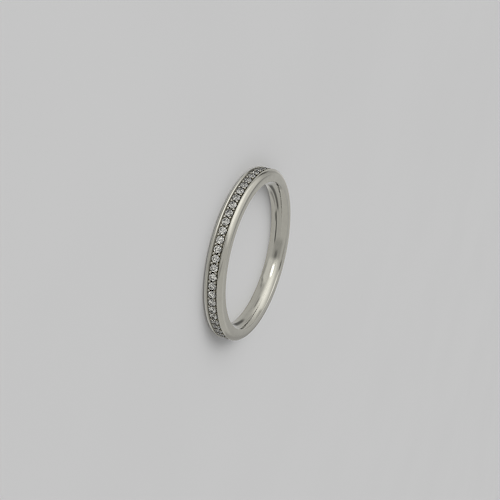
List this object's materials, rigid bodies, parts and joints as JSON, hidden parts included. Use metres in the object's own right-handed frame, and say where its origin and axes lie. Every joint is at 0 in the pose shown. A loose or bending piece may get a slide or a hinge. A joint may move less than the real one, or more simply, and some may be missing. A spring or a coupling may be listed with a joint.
{
  "type": "eternity ring",
  "caption": "Slim polished white-metal finger ring with a full row of small round stones set in a channel between plain rounded rails.",
  "frame": {"origin": "under the middle of the finger hole, on the surface that the ring lies on", "axes": "+Z along the finger hole's axis, up from the side face that the ring lies on; +X through the middle of a stone; +Y across the ring"},
  "size_m": [0.0208, 0.0206, 0.0022],
  "materials": {
    "white_gold": "polished white gold, with bright-cut bevels and round beads along the row of stones",
    "diamond": "clear, colourless, cut as round brilliants"
  },
  "bodies": {
    "root": {"band": "white_gold", "stones": "diamond"}
  },
  "joints": []
}
